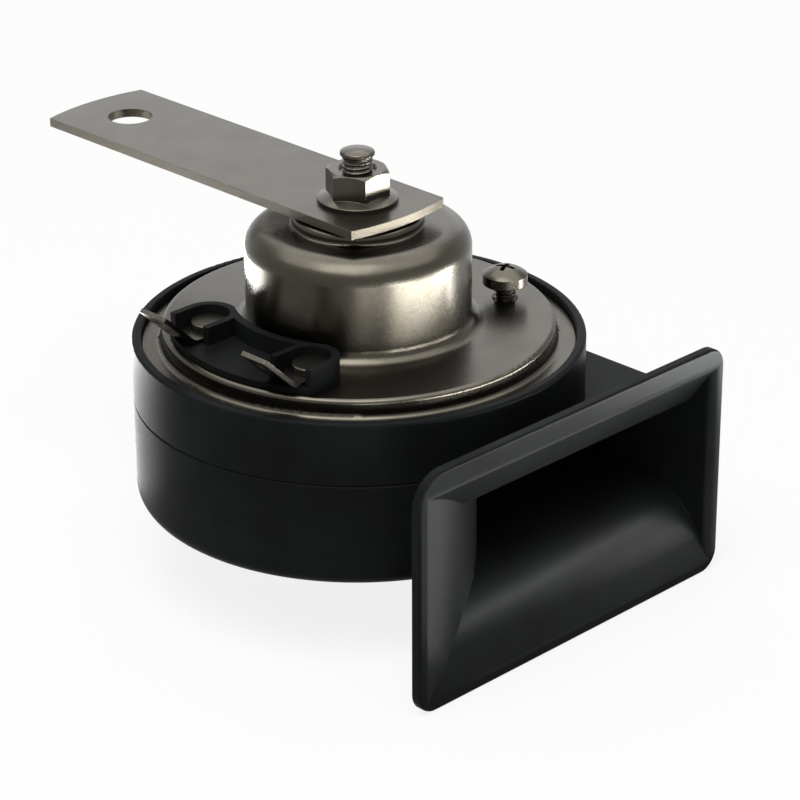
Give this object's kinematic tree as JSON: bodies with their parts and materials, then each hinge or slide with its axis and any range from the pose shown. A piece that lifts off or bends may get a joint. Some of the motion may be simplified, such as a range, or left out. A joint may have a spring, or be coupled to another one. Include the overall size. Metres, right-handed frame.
{
  "type": "car horn",
  "caption": "Electric vehicle horn with a round snail trumpet, flared rectangular bell, pressed steel driver, blade terminals, adjusting screw and a flat strap bracket.",
  "frame": {"origin": "centre of the mounting hole in the strap bracket, half way through its thickness", "axes": "+Z along the mounting hole and the horn's own axis, from the trumpet towards the stud; +Y along the bracket, from the stud towards the mounting hole; the bell opens towards -Y"},
  "size_m": [0.0823, 0.1199, 0.0791],
  "materials": {
    "trumpet_plastic": "near-black moulded plastic, semi-gloss",
    "plated_sheet_steel": "zinc-plated sheet steel, satin, warm grey",
    "plated_steel": "zinc-plated turned steel, satin",
    "block_plastic": "black phenolic moulding, matt",
    "tinned_brass": "tin-plated brass strip, satin",
    "spring_steel": "bright spring steel strip",
    "contact_metal": "tungsten contact face, ground",
    "gasket_sheet": "dark fibre gasket sheet, matt",
    "bobbin_plastic": "natural nylon moulding",
    "enamelled_wire": "enamelled copper wire, glossy"
  },
  "bodies": {
    "horn": {"trumpet_body": "trumpet_plastic", "trumpet_cover": "trumpet_plastic", "driver_cup": "plated_sheet_steel", "pole_stud": "plated_steel", "spacer_washer": "plated_sheet_steel", "mounting_bracket": "plated_sheet_steel", "flange_nut": "plated_steel", "terminal_block": "block_plastic", "terminal_front": "tinned_brass", "terminal_rear": "tinned_brass", "terminal_rivets": "plated_steel", "breaker_insulators": "block_plastic", "contact_plate": "plated_sheet_steel", "contact_arm": "spring_steel", "fixed_contact": "contact_metal", "diaphragm": "spring_steel", "gasket_upper": "gasket_sheet", "gasket_lower": "gasket_sheet", "coil_bobbin": "bobbin_plastic", "coil_winding": "enamelled_wire"},
    "armature": {"armature": "plated_steel", "armature_washer": "plated_sheet_steel", "moving_contact": "contact_metal"},
    "adjuster": {"adjusting_screw": "plated_steel"}
  },
  "joints": [
    {"name": "armature_stroke", "type": "slide", "parent": "horn", "child": "armature", "axis": [0, 0, 1], "range_m": [0, 0.0006], "stiffness_N_per_m": 5000, "deforming": ["diaphragm", "contact_arm"]},
    {"name": "adjuster_turn", "type": "hinge", "parent": "horn", "child": "adjuster", "pos_m": [0.02458, -0.0723, -0.0186], "axis": [0, 0, 1], "range_deg": [-180, 180]}
  ]
}
